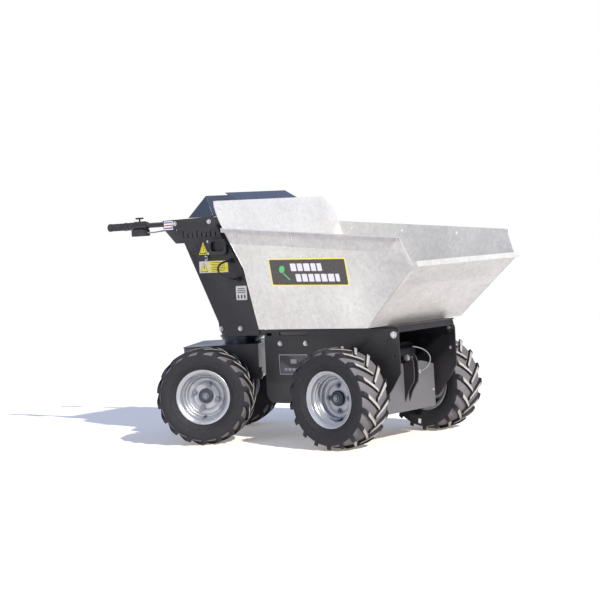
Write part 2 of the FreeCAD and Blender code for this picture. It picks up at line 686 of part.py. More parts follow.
NODES["control_cable"] = pipe("control_cable", [
    (-1152, -TUBE_Y, 905), (-1125, -TUBE_Y, 904), (-1080, -TUBE_Y + 2, 908), (-1030, -TUBE_Y + 4, 911),
    (-980, -TUBE_Y + 12, 903), (-940, -TUBE_Y + 30, 890), (-908.5, -TUBE_Y + 45, 884),
], 3.2)


# ---- side fittings ------------------------------------------------------------------
def gland(x, z):
    base = cyl((x, -CON_OUT, z), (0, -1, 0), 12.5, 4)
    pts = []
    for i in range(6):
        a = math.radians(60 * i)
        pts.append((x + 11.5 * math.cos(a), z + 11.5 * math.sin(a)))
    nut = face_xz(pts, -CON_OUT - 4).extrude(V(0, -8, 0))
    dome = cyl((x, -CON_OUT - 12, z), (0, -1, 0), 8.5, 8)
    return fuse([base, nut, dome]).cut(cyl((x, -CON_OUT - 30, z), (0, 1, 0), 4.8, 40))


NODES["cable_glands"] = group([gland(-642, 765), gland(-605, 687)])
NODES["looped_cable"] = pipe("looped_cable", [
    (-642, -CON_OUT - 1, 765), (-642, -CON_OUT - 27, 765), (-651, -CON_OUT - 44, 762),
    (-667, -CON_OUT - 55, 751), (-674, -CON_OUT - 58, 733), (-667, -CON_OUT - 56, 712),
    (-646, -CON_OUT - 50, 695), (-617, -CON_OUT - 42, 688), (-605, -CON_OUT - 27, 687),
    (-605, -CON_OUT - 1, 687),
], 4.5)

HINGE_X, HINGE_Y = -768.0, -CON_OUT - 8.0
leaf = box(-776, -760, -CON_OUT - 2.5, -CON_OUT, 795, 857)
knuckles = [cyl((HINGE_X, HINGE_Y, z), (0, 0, 1), 5.5, 10) for z in (795, 847)]
webs = [box(HINGE_X - 4, HINGE_X + 4, HINGE_Y, -CON_OUT - 2, z, z + 10) for z in (795, 847)]
hinge = fuse([leaf] + knuckles + webs)
NODES["handle_hinge"] = hinge.fuse(cyl((HINGE_X, HINGE_Y, 795), (0, 0, 1), 2.5, 62))

loop_out = rounded_rect(-713, 826, 104, 68, 20, HINGE_Y - 5, HINGE_Y + 5)
loop_in = rounded_rect(-711, 829.5, 76, 43, 14, HINGE_Y - 9, HINGE_Y + 9)
loop = loop_out.cut(loop_in).cut(box(-780, -756, HINGE_Y - 20, HINGE_Y + 20, 780, 805.5))
loop = loop.cut(box(-780, -756, HINGE_Y - 20, HINGE_Y + 20, 846.5, 870))
barrel = cyl((HINGE_X, HINGE_Y, 805.5), (0, 0, 1), 5.0, 41)
loop = loop.cut(box(-780, -762, HINGE_Y - 20, HINGE_Y + 20, 780, 870)).fuse(barrel)
loop = loop.fuse(box(-768, -756, HINGE_Y - 5, HINGE_Y + 5, 805.5, 846.5))
NODES["side_handle"] = loop.cut(cyl((HINGE_X, HINGE_Y, 780), (0, 0, 1), 2.55, 100)).removeSplitter()

switch = fuse([
    cyl((-790, -CON_OUT - 4, 781), (0, 1, 0), 11.5, 4),
    cyl((-790, -CON_OUT, 781), (0, 1, 0), 9, 22),
])
NODES["key_switch"] = switch.cut(cyl((-790, -CON_OUT - 10, 781), (0, 1, 0), 3.5, 20))
key = fuse([
    cyl((-790, -CON_OUT - 7, 781), (0, 1, 0), 3.45, 12),
    box(-796, -784, -CON_OUT - 19, -CON_OUT - 16.8, 770, 792),
    box(-793, -787, -CON_OUT - 17.5, -CON_OUT - 6, 779.6, 782.4),
])
NODES["key"] = key

# ---- labels: plain coloured plates, nothing printed in relief -------------------------
LABEL_T = 0.6
tri = [(-832.5, 795), (-777.5, 795), (-805, 849)]
NODES["label_triangle"] = slab_xz(tri, -CON_OUT - LABEL_T, -CON_OUT)
wide = rounded_rect(-751, 742.5, 168, 50, 3, -CON_OUT - LABEL_T, -CON_OUT)
NODES["label_warning"] = wide
NODES["labels_pale"] = group([
    rounded_rect(-599, 627, 62, 60, 6, -CON_OUT - LABEL_T, -CON_OUT),
    rounded_rect(-1006, 931, 54, 38, 2, -CON_OUT - LABEL_T, -CON_OUT),
])

# ---- write ------------------------------------------------------------------------
low = V(1e9, 1e9, 1e9)
high = V(-1e9, -1e9, -1e9)
for shape in NODES.values():
    b = shape.optimalBoundingBox(False)
    low = V(min(low.x, b.XMin), min(low.y, b.YMin), min(low.z, b.ZMin))
    high = V(max(high.x, b.XMax), max(high.y, b.YMax), max(high.z, b.ZMax))
shift = V(-(low.x + high.x) / 2, -(low.y + high.y) / 2, -low.z)
os.makedirs("parts", exist_ok=True)
for name, shape in NODES.items():
    shape.translate(shift)
    shape.exportStep("parts/" + name + ".step")
print("frame shift", shift.x, shift.y, shift.z)
print("size", high.x - low.x, high.y - low.y, high.z - low.z)
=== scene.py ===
import json
import math
import random

import bmesh
import bpy
from mathutils import Matrix, Vector


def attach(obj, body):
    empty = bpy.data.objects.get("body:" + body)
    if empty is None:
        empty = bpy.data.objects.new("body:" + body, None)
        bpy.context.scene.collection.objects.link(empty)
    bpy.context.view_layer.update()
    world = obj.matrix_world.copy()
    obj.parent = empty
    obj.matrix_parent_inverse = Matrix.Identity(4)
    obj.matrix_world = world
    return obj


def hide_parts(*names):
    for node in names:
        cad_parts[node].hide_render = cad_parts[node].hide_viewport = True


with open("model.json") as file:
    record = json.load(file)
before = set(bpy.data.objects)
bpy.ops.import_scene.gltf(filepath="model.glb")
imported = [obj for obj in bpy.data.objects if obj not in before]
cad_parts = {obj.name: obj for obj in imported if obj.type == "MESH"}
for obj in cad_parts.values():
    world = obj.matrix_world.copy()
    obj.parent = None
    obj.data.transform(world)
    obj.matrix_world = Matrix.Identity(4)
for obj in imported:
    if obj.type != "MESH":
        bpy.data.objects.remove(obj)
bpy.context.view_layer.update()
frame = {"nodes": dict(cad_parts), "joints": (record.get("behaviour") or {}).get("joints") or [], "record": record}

MM = 0.001
NODES = frame["nodes"]
BODY_OF = {n: b for b, ns in frame["record"]["behaviour"]["bodies"].items() for n in ns}
SLOT_OF = {s["node"]: s["material_slot"] for s in frame["record"]["subparts"]}
JOINTS = {j["name"]: j for j in frame["joints"]}

# The machine's own origin: on the ground, on the centre line, under the front axle.
_right = Vector(JOINTS["front_right_spin"]["pos_m"])
_left = Vector(JOINTS["front_left_spin"]["pos_m"])
ORIGIN = Vector(((_right.x + _left.x) / 2, (_right.y + _left.y) / 2, 0))


def at(x, y, z):
    """A point given in millimetres from the machine's origin, as a point in the frame."""
    return ORIGIN + Vector((x, y, z)) * MM


# ---- node helpers for materials -------------------------------------------------------
class Surface:
    """A Principled material with procedural detail, all in object coordinates."""

    def __init__(self, name, color, rough, metal=0.0, coat=0.0, specular=0.5):
        self.mat = bpy.data.materials.new(name)
        self.mat.use_nodes = True
        self.tree = self.mat.node_tree
        self.bsdf = self.tree.nodes["Principled BSDF"]
        self.bsdf.inputs["Metallic"].default_value = metal
        self.bsdf.inputs["Coat Weight"].default_value = coat
        self.bsdf.inputs["Specular IOR Level"].default_value = specular
        self.bsdf.inputs["Base Color"].default_value = (*color, 1)
        self.bsdf.inputs["Roughness"].default_value = rough
        self.coord = self.tree.nodes.new("ShaderNodeTexCoord").outputs["Object"]

    def node(self, kind, **settings):
        n = self.tree.nodes.new(kind)
        for key, value in settings.items():
            setattr(n, key, value)
        return n

    def link(self, a, b):
        self.tree.links.new(a, b)

    def stretched(self, scale):
        """Object coordinates multiplied by scale, for streaks."""
        m = self.node("ShaderNodeMapping")
        m.inputs["Scale"].default_value = scale
        self.link(self.coord, m.inputs["Vector"])
        return m.outputs["Vector"]

    def noise(self, scale, detail=4.0, rough=0.6, vector=None):
        n = self.node("ShaderNodeTexNoise")
        n.inputs["Scale"].default_value = scale
        n.inputs["Detail"].default_value = detail
        n.inputs["Roughness"].default_value = rough
        self.link(vector or self.coord, n.inputs["Vector"])
        return n.outputs["Fac"]

    def voronoi(self, scale, output="Color"):
        n = self.node("ShaderNodeTexVoronoi")
        n.inputs["Scale"].default_value = scale
        self.link(self.coord, n.inputs["Vector"])
        return n.outputs[output]

    def remap(self, value, low, high, to_low=0.0, to_high=1.0):
        n = self.node("ShaderNodeMapRange")
        n.inputs["From Min"].default_value = low
        n.inputs["From Max"].default_value = high
        n.inputs["To Min"].default_value = to_low
        n.inputs["To Max"].default_value = to_high
        self.link(value, n.inputs["Value"])
        return n.outputs["Result"]

    def math(self, operation, a, b):
        n = self.node("ShaderNodeMath", operation=operation)
        for socket, value in zip(n.inputs, (a, b)):
            if isinstance(value, (int, float)):
                socket.default_value = value
            else:
                self.link(value, socket)
        return n.outputs[0]

    def grey(self, color):
        """The brightness of a colour output."""
        n = self.node("ShaderNodeRGBToBW")
        self.link(color, n.inputs[0])
        return n.outputs[0]

    def blend(self, factor, low, high):
        """Mix of two colours, each a colour or the output of another node."""
        n = self.node("ShaderNodeMix", data_type="RGBA")
        self.link(factor, n.inputs["Factor"])
        sockets = [s for s in n.inputs if s.type == "RGBA"]
        for socket, value in zip(sockets, (low, high)):
            if isinstance(value, tuple):
                socket.default_value = (*value, 1)
            else:
                self.link(value, socket)
        return [s for s in n.outputs if s.type == "RGBA"][0]

    def worn_edges(self, low, high):
        """Factor that rises from 0 to 1 where the surface is sharply convex."""
        g = self.node("ShaderNodeNewGeometry")
        return self.remap(g.outputs["Pointiness"], low, high)

    def paint(self, color):
        self.link(color, self.bsdf.inputs["Base Color"])

    def roughness(self, value):
        self.link(value, self.bsdf.inputs["Roughness"])

    def bump(self, *layers):
        """layers are (height output, depth in millimetres)."""
        below = None
        for height, depth in layers:
            b = self.node("ShaderNodeBump")
            b.inputs["Strength"].default_value = 1.0
            b.inputs["Distance"].default_value = depth * MM
            self.link(height, b.inputs["Height"])
            if below:
                self.link(below, b.inputs["Normal"])
            below = b.outputs["Normal"]
        self.link(below, self.bsdf.inputs["Normal"])


def galvanised(name, light, dark, rough):
    """Hot-dip zinc: large crystal spangle, cloudy runs and a little soiling."""
    s = Surface(name, light, rough, metal=0.30, specular=0.5)
    crystal = s.grey(s.voronoi(75))
    fine = s.grey(s.voronoi(190))
    cloud = s.noise(3.2, 5)
    runs = s.noise(5.0, 4, vector=s.stretched((1.0, 1.0, 0.22)))
    stain = s.remap(s.noise(2.1, 7, 0.72), 0.60, 0.76)
    mixed = s.math("ADD", s.math("MULTIPLY", crystal, 0.20), s.math("MULTIPLY", fine, 0.10))
    mixed = s.math("ADD", mixed, s.math("MULTIPLY", cloud, 0.70))
    tone = s.blend(s.remap(mixed, 0.34, 0.66), dark, light)
    tone = s.blend(s.remap(runs, 0.55, 0.75, 0.0, 0.35), tone, (0.47, 0.44, 0.40))
    tone = s.blend(s.math("MULTIPLY", stain, 0.40), tone, (0.36, 0.34, 0.31))
    s.paint(tone)
    s.roughness(s.remap(mixed, 0.3, 0.7, rough + 0.12, rough - 0.08))
    s.bump((crystal, 0.05), (s.noise(14, 3), 0.35), (s.noise(260, 2), 0.05))
    return s.mat


def powder_coat(name, color, rough=0.36, dust=0.06, dust_color=(0.15, 0.145, 0.145)):
    """Satin powder coat: orange peel, faint dust and rubbed edges."""
    s = Surface(name, color, rough, specular=0.45)
    dusty = s.remap(s.noise(6.0, 6, 0.65), 0.46, 0.80, 0.0, dust)
    streaks = s.noise(34, 3, vector=s.stretched((0.25, 0.25, 2.2)))
    scuff = s.remap(streaks, 0.62, 0.80, 0.0, dust * 0.8)
    tone = s.blend(dusty, color, dust_color)
    tone = s.blend(scuff, tone, dust_color)
    tone = s.blend(s.remap(s.worn_edges(0.53, 0.62), 0, 1, 0, 0.4), tone, (0.16, 0.155, 0.16))
    s.paint(tone)
    s.roughness(s.remap(s.noise(9, 5), 0.3, 0.7, rough - 0.05, rough + 0.12))
    s.bump((s.noise(420, 2), 0.05), (s.noise(5, 2), 0.20))
    return s.mat


def rim_paint(name):
    """Silver wheel paint with brake dust in its corners."""
    s = Surface(name, (0.36, 0.37, 0.40), 0.36, metal=0.60, coat=0.10)
    grime = s.remap(s.noise(22, 6, 0.7), 0.50, 0.78, 0.0, 0.40)
    tone = s.blend(grime, (0.36, 0.37, 0.40), (0.20, 0.20, 0.21))
    tone = s.blend(s.remap(s.worn_edges(0.52, 0.60), 0, 1, 0, 0.6), tone, (0.62, 0.63, 0.65))
    s.paint(tone)
    s.roughness(s.remap(s.noise(30, 4), 0.3, 0.7, 0.28, 0.46))
    s.bump((s.noise(500, 2), 0.03))
    return s.mat


def tyre_rubber(name, color, dust, dust_color, rough=0.72):
    """Rubber under a film of dust, with lighter specks."""
    s = Surface(name, color, rough, specular=0.35)
    film = s.remap(s.noise(11, 7, 0.7), 0.30, 0.72, dust * 0.35, dust)
    specks = s.remap(s.noise(120, 4, 0.7), 0.58, 0.74, 0.0, dust * 0.8)
    tone = s.blend(film, color, dust_color)
    tone = s.blend(specks, tone, dust_color)
    s.paint(tone)
    s.roughness(s.remap(s.noise(40, 4), 0.3, 0.7, rough - 0.08, rough + 0.12))
    s.bump((s.noise(300, 3), 0.10), (s.noise(28, 4), 0.25))
    return s.mat


def zinc_plate(name, color=(0.62, 0.64, 0.67), rough=0.30):
    """Zinc-plated steel with a faint film of dirt."""
    s = Surface(name, color, rough, metal=0.85)
    film = s.remap(s.noise(60, 5), 0.42, 0.75, 0.0, 0.45)
    s.paint(s.blend(film, color, (0.42, 0.41, 0.38)))
    s.roughness(s.remap(s.noise(150, 3), 0.3, 0.7, rough - 0.06, rough + 0.15))
    s.bump((s.noise(900, 2), 0.02))
    return s.mat


def moulded(name, color, rough=0.5, grain=0.04, dust=0.12):
    """Moulded plastic or rubber with a fine grain."""
    s = Surface(name, color, rough, specular=0.4)
    film = s.remap(s.noise(16, 6, 0.7), 0.45, 0.78, 0.0, dust)
    s.paint(s.blend(film, color, (0.26, 0.25, 0.24)))
    s.roughness(s.remap(s.noise(50, 4), 0.3, 0.7, rough - 0.06, rough + 0.12))
    s.bump((s.voronoi(1100, "Distance"), grain), (s.noise(60, 3), grain))
    return s.mat


def film_label(name, color, rough=0.35):
    """Printed film, faded and soiled in patches."""
    s = Surface(name, color, rough, coat=0.3)
    fade = s.remap(s.noise(40, 5), 0.35, 0.75, 0.0, 0.25)
    soiled = tuple(c * 0.72 + 0.03 for c in color)
    s.paint(s.blend(fade, color, soiled))
    s.roughness(s.remap(s.noise(70, 4), 0.3, 0.7, rough - 0.08, rough + 0.12))
    s.bump((s.noise(220, 3), 0.02))
    return s.mat


def cast_metal(name, color, rough=0.55):
    """Rough metal with dark grime."""
    s = Surface(name, color, rough, metal=0.6)
    grime = s.remap(s.noise(18, 7, 0.7), 0.40, 0.70, 0.0, 0.6)
    s.paint(s.blend(grime, color, tuple(c * 0.45 for c in color)))
    s.roughness(s.remap(s.noise(45, 4), 0.3, 0.7, rough - 0.08, rough + 0.16))
    s.bump((s.noise(380, 4), 0.12), (s.noise(35, 4), 0.35))
    return s.mat


BLACK = (0.0095, 0.0090, 0.0115)
FINISHES = {
    "tyre": tyre_rubber("tyre_side", (0.010, 0.010, 0.013), 0.25, (0.030, 0.029, 0.033)),
    "rim": rim_paint("rim_silver"),
    "black_powder": powder_coat("black_powder", BLACK),
    "galvanised": galvanised("galvanised", (0.66, 0.65, 0.62), (0.50, 0.49, 0.47), 0.40),
    "zinc": zinc_plate("zinc_bright"),
    "grip_rubber": moulded("grip_rubber", (0.018, 0.018, 0.020), 0.62, 0.08),
    "black_plastic": moulded("black_plastic", (0.022, 0.022, 0.025), 0.45),
    "cable_black": moulded("cable_black", (0.022, 0.026, 0.034), 0.14, 0.01, 0.02),
    "cable_pale": moulded("cable_pale", (0.19, 0.21, 0.21), 0.40, 0.01, 0.10),
    "guard_silver": powder_coat(
        "guard_silver", (0.092, 0.092, 0.097), 0.42, 0.25, (0.14, 0.137, 0.135)),
    "cast_case": cast_metal("cast_case", (0.26, 0.26, 0.27)),
    "motor_dark": cast_metal("motor_dark", (0.018, 0.017, 0.018), 0.34),
    "axle_steel": cast_metal("axle_steel", (0.045, 0.050, 0.065), 0.40),
    "battery_case": moulded("battery_case", (0.04, 0.04, 0.045)),
    "label_yellow": film_label("label_yellow", (0.82, 0.70, 0.02)),
    "label_pale": film_label("label_pale", (0.62, 0.61, 0.59)),
    "decal_dark": film_label("decal_dark", (0.036, 0.030, 0.030), 0.30),
    "badge_metal": powder_coat("badge_metal", (0.020, 0.020, 0.022), 0.30, 0.08),
    "buffer_rubber": moulded("buffer_rubber", (0.016, 0.016, 0.016), 0.75, 0.08),
}
# lug tops: lighter as dust and as painted light on the faces the sun meets
TREAD_TOP_DUST_AND_LIGHT = tyre_rubber("tyre_tread_dust_and_painted_light", (0.16, 0.15, 0.14), 0.80, (0.50, 0.475, 0.44), 0.80)
TREAD_BED = tyre_rubber("tyre_bed", (0.060, 0.058, 0.062), 0.75, (0.19, 0.185, 0.195), 0.78)
# darkened blue-grey zinc for the nuts: partly their own dull zinc, partly painted shade, with the washer rings
# standing as the dark gap round each nut
DULL_ZINC_AND_SHADE = zinc_plate("zinc_dull_and_painted_shade", (0.20, 0.22, 0.26), 0.32)
# darker zinc for the skip's turned-down rims: painted shade on their outer faces
SHADED_RIM_ZINC = galvanised("galvanised_rim_painted_shade", (0.47, 0.45, 0.45), (0.34, 0.32, 0.33), 0.46)
# black gloss with a blue-tinted base colour: the blue is a painted reflection of the sky
SKY_BLUE_GLOSS = powder_coat("black_gloss_painted_sky_blue", (0.012, 0.024, 0.055), 0.20, 0.03)
EDGE_YELLOW = film_label("edge_yellow", (0.78, 0.70, 0.10))
INK_LIGHT = film_label("ink_light", (0.66, 0.65, 0.68))
BADGE_INK = film_label("badge_ink", (0.24, 0.24, 0.27))
INK_DARK = film_label("ink_dark", (0.030, 0.028, 0.020))
INK_GREEN = film_label("ink_green", (0.06, 0.46, 0.12))
INK_RED = film_label("ink_red", (0.42, 0.08, 0.09))
INK_BLUE = film_label("ink_blue", (0.06, 0.07, 0.22))
WELD = zinc_plate("weld_zinc", (0.50, 0.49, 0.47), 0.42)


# ---- mesh helpers -----------------------------------------------------------------------
def add_object(name, mesh, body, materials):
    """A visible piece that rides on the body."""
    obj = bpy.data.objects.new(name, mesh)
    bpy.context.scene.collection.objects.link(obj)
    for m in materials:
        mesh.materials.append(m)
    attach(obj, body)
    return obj


def finish_mesh(bm, name, angle=32):
    """Ends a bmesh as a smooth-shaded mesh whose edges stay sharp above the angle."""
    bmesh.ops.recalc_face_normals(bm, faces=bm.faces)
    mesh = bpy.data.meshes.new(name)
    bm.to_mesh(mesh)
    bm.free()
    mesh.shade_smooth()
    mesh.set_sharp_from_angle(angle=math.radians(angle))
    return mesh


def rounded(obj, width, segments=2, angle=35):
    """Rounds the object's sharp edges by width in millimetres."""
    mod = obj.modifiers.new("rounded", "BEVEL")
    mod.width = width * MM
    mod.segments = segments
    mod.limit_method = "ANGLE"
    mod.angle_limit = math.radians(angle)
    mod.harden_normals = True
    mod.use_clamp_overlap = True


# Upper plates that mirror the sky. Their finish is glossy, and its base colour is tinted blue as a painted
# reflection of the sky.
GLOSSY = (
    "bogie_top_plate", "skip_guard_plate", "console_hood", "turntable_upper", "turntable_lower",
)


def soften(node, width):
    """Stands for a CAD node with the same shape and rounded edges that catch the light."""
    bm = bmesh.new()
    bm.from_mesh(NODES[node].data)
    bmesh.ops.remove_doubles(bm, verts=bm.verts, dist=0.00001)
    flat = math.radians(0.6)
    bmesh.ops.dissolve_limit(bm, angle_limit=flat, verts=bm.verts, edges=bm.edges)
    mesh = finish_mesh(bm, node + "_skin")
    slot = SLOT_OF[node]
    # the upper plates take the gloss whose blue base colour is a painted reflection of the sky
    finish = SKY_BLUE_GLOSS if node in GLOSSY else FINISHES[slot]
    obj = add_object(node + "_skin", mesh, BODY_OF[node], [finish])
    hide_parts(node)
    rounded(obj, width)


def lathe(bm, profile, matrix, segments):
    """Turns a closed outline of (radius, along) in millimetres about the matrix's Y axis."""
    rings = []
    for i in range(segments):
        a = 2 * math.pi * i / segments
        ring = []
        for r, w in profile:
            p = Vector((r * math.sin(a), w, r * math.cos(a))) * MM
            ring.append(bm.verts.new(matrix @ p))
        rings.append(ring)
    n = len(profile)
    for i in range(segments):
        here, there = rings[i], rings[(i + 1) % segments]
        for k in range(n):
            m = (k + 1) % n
            bm.faces.new((here[k], here[m], there[m], there[k]))


def box_in(bm, matrix, x0, x1, y0, y1, z0, z1):
    """A block in millimetres in the matrix's own axes."""
    corners = []
    for x in (x0, x1):
        for y in (y0, y1):
            for z in (z0, z1):
                corners.append(bm.verts.new(matrix @ (Vector((x, y, z)) * MM)))
    for quad in (
        (0, 1, 3, 2), (4, 6, 7, 5), (0, 4, 5, 1), (2, 3, 7, 6), (0, 2, 6, 4), (1, 5, 7, 3),
    ):
        bm.faces.new([corners[i] for i in quad])


def prism(bm, matrix, outline, y0, y1, material=0):
    """An outline of (x, z) points in millimetres, thick from y0 to y1."""
    near = [bm.verts.new(matrix @ (Vector((x, y0, z)) * MM)) for x, z in outline]
    far = [bm.verts.new(matrix @ (Vector((x, y1, z)) * MM)) for x, z in outline]
    faces = [bm.faces.new(near), bm.faces.new(far[::-1])]
    n = len(outline)
    for i in range(n):
        k = (i + 1) % n
        faces.append(bm.faces.new((near[i], far[i], far[k], near[k])))
    for f in faces:
        f.material_index = material


def hexagon(radius, turn):
    """Outline of a nut, turned by an angle in degrees."""
    corners = [math.radians(60 * i + turn) for i in range(6)]
    return [(radius * math.cos(a), radius * math.sin(a)) for a in corners]


def rounded_outline(cx, cz, w, h, r, lean=0.0):
    """Rectangle with round corners; lean shifts its foot along x, for a slanted panel."""
    points = []
    for sx, sz, start in ((1, 1, 0), (-1, 1, 90), (-1, -1, 180), (1, -1, 270)):
        for k in range(5):
            a = math.radians(start + 22.5 * k)
            x = sx * (w / 2 - r) + r * math.cos(a)
            z = sz * (h / 2 - r) + r * math.sin(a)
            points.append((cx + x - lean * z / h, cz + z))
    return points


# ---- wheels -------------------------------------------------------------------------------
# Radii and widths in millimetres; widths count from the middle of the tyre.
TYRE_R = 203.0
LUGS = 18               # on each side
LUG_ANGLE = 42.0        # degrees that each lug leans from straight across
LUG_START = 0.30        # shift of the pattern, as a share of the pitch
LUG_FROM, LUG_TO = -6.0, 79.0
TREAD_HALF = 81.0
BED_R, BED_HALF = 178.5, 79.5   # the dusty bed between the lugs
# Outer half of the carcass from bead to crown, as (radius, width).
CARCASS = [
    (101.8, 57.0), (106.0, 61.0), (111.0, 63.0), (117.5, 64.0), (121.0, 67.5), (128.0, 72.5),
    (134.0, 75.8), (137.0, 78.6), (140.0, 78.2), (145.0, 80.0), (154.0, 82.0), (163.0, 82.4),
    (171.0, 81.8), (176.0, 80.4), (180.5, 77.4), (184.0, 73.0), (187.0, 66.0), (189.0, 54.0),
    (190.4, 30.0),
]
WIDEST = 11             # index of the carcass's widest point
CROWN_R = 191.0


def wheel_matrix(joint):
    """Wheel axes: X forward, Y to the machine's left, Z up, from the wheel's spin joint."""
    j = JOINTS[joint]
    lat = Vector(j["axis"]).normalized()
    if lat.y < 0:
        lat = -lat
    fwd = lat.cross(Vector((0, 0, 1))).normalized()
    m = Matrix((fwd, lat, Vector((0, 0, 1)))).transposed().to_4x4()
    m.translation = Vector(j["pos_m"])
    return m


def carcass_radius(w):
    """Outer radius of the tyre's carcass at the distance w from its middle."""
    w = abs(w)
    outer = [(width, radius) for radius, width in CARCASS[WIDEST:]] + [(0.0, CROWN_R)]
    for (w0, r0), (w1, r1) in zip(outer, outer[1:]):
        if w1 <= w <= w0:
            t = (w - w1) / (w0 - w1) if w0 != w1 else 0
            return r1 + (r0 - r1) * t
    return CARCASS[WIDEST][0]


def tread_radius(w):
    """Outer radius of the lug tops: almost flat, then round over the shoulder."""
    t = abs(w) / TREAD_HALF
    return TYRE_R - 2.2 * t * t - 9.5 * max(0.0, t - 0.72) ** 1.3 * 3.2


def add_lug(bm, matrix, angle, side):
    """One bar of the chevron tread, from just past the middle to its shoulder end. Its top is lighter as dust and
    as painted light; its flanks and shoulder end keep the darker side-wall rubber as painted shade.
    """
    steps = 9
    w0, w1 = LUG_FROM, LUG_TO
    flank, root, overhang = 2.4, 3.0, 2.6
    slope = math.tan(math.radians(LUG_ANGLE))
    rows = []
    for k in range(steps + 1):
        t = k / steps
        w = w0 + (w1 - w0) * t
        sweep = -(w - w0) * slope * (1.0 - 0.12 * t) / CROWN_R
        half_top = (6.0 + 3.0 * t) / CROWN_R
        half_base = half_top + flank / CROWN_R
        top = tread_radius(w)
        base = carcass_radius(w) - root
        row = []
        for half, radius in (
            (-half_base, base), (-half_top, top), (half_top, top), (half_base, base),
        ):
            a = angle + sweep + half
            p = Vector((radius * math.sin(a), side * w, radius * math.cos(a))) * MM
            row.append(bm.verts.new(matrix @ p))
        rows.append(row)
    last = []
    a_end = angle - (w1 + overhang - w0) * slope * 0.88 / CROWN_R
    for half, radius in ((-12.0, 168.0), (-9.4, 184.0), (9.4, 184.0), (12.0, 168.0)):
        a = a_end + half / CROWN_R
        p = Vector((radius * math.sin(a), side * (w1 + overhang), radius * math.cos(a))) * MM
        last.append(bm.verts.new(matrix @ p))
    rows.append(last)
    # the tops of all rows but the shoulder end get the lighter tread, as dust and painted light; the flanks and
    # the shoulder end keep the dark side-wall rubber as painted shade
    dusty = steps - 2
    for k in range(len(rows) - 1):
        here, there = rows[k], rows[k + 1]
        for i in range(3):
            f = bm.faces.new((here[i], here[i + 1], there[i + 1], there[i]))
            f.material_index = 1 if i == 1 and k < dusty else 0
        bm.faces.new((here[3], here[0], there[0], there[3]))
    bm.faces.new(rows[0])
    bm.faces.new(rows[-1])


def build_tyre(tag, joint, body, outward):
    """Hollow carcass, chevron lugs, marks moulded on both walls and a patch on the inner wall."""
    m = wheel_matrix(joint)
    inner = [(101.8, 42.0), (112, 44), (128, 57), (145, 67), (163, 70), (176, 67), (183, 50)]
    outline = CARCASS + [(CROWN_R, 0.0)] + [(r, -w) for r, w in CARCASS[::-1]]
    outline += [(r, -w) for r, w in inner] + [(183.5, 0.0)] + [(r, w) for r, w in inner[::-1]]
    bm = bmesh.new()
    lathe(bm, outline, m, 108)
    for f in bm.faces:
        centre = m.inverted() @ f.calc_center_median()
        if math.hypot(centre.x, centre.z) > BED_R * MM and abs(centre.y) < BED_HALF * MM:
            f.material_index = 2
    finishes = [FINISHES["tyre"], TREAD_TOP_DUST_AND_LIGHT, TREAD_BED]
    carcass = finish_mesh(bm, "tyre_carcass_" + tag, 28)
    obj = add_object("tyre_carcass_" + tag, carcass, body, finishes)
    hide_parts("tyre_" + tag)
    bm = bmesh.new()
    pitch = 2 * math.pi / LUGS
    for side in (-1, 1):
        for i in range(LUGS):
            add_lug(bm, m, pitch * (i + LUG_START + 0.25 * side), side)
    mesh = finish_mesh(bm, "tyre_lugs_" + tag, 40)
    lugs = add_object("tyre_lugs_" + tag, mesh, body, finishes)
    rounded(lugs, 1.3, 2, 40)
    # raised blocks and rings moulded on both side walls
    bm = bmesh.new()
    for side in (-1, 1):
        for i in range(2):
            for k in range(9):
                a = math.pi * i + math.radians(-26 + 6.5 * k)
                turn = m @ Matrix.Rotation(a, 4, "Y")
                half, top = 6.6 if k % 3 else 5.0, 163.0 if k % 2 else 161.0
                box_in(bm, turn, -half, half, side * 80.2, side * 82.1, 152.0, top)
        for i in range(48):
            turn = m @ Matrix.Rotation(math.radians(7.5 * i), 4, "Y")
            box_in(bm, turn, -0.7, 0.7, side * 76.2, side * 79.2, 138.5, 143.5)
    mesh = finish_mesh(bm, "tyre_marks_" + tag)
    marks = add_object("tyre_marks_" + tag, mesh, body, [FINISHES["tyre"]])
    rounded(marks, 0.4, 1)
    # small pale patch on the inner wall
    bm = bmesh.new()
    turn = m @ Matrix.Rotation(math.radians(188), 4, "Y")
    inward = -outward
    box_in(bm, turn, -7, 7, inward * 82.0, inward * 82.9, 152, 172)
    mesh = finish_mesh(bm, "tyre_patch_" + tag)
    patch = add_object("tyre_patch_" + tag, mesh, body, [INK_LIGHT])
    rounded(patch, 0.3, 1)


STUD_R = 51.0


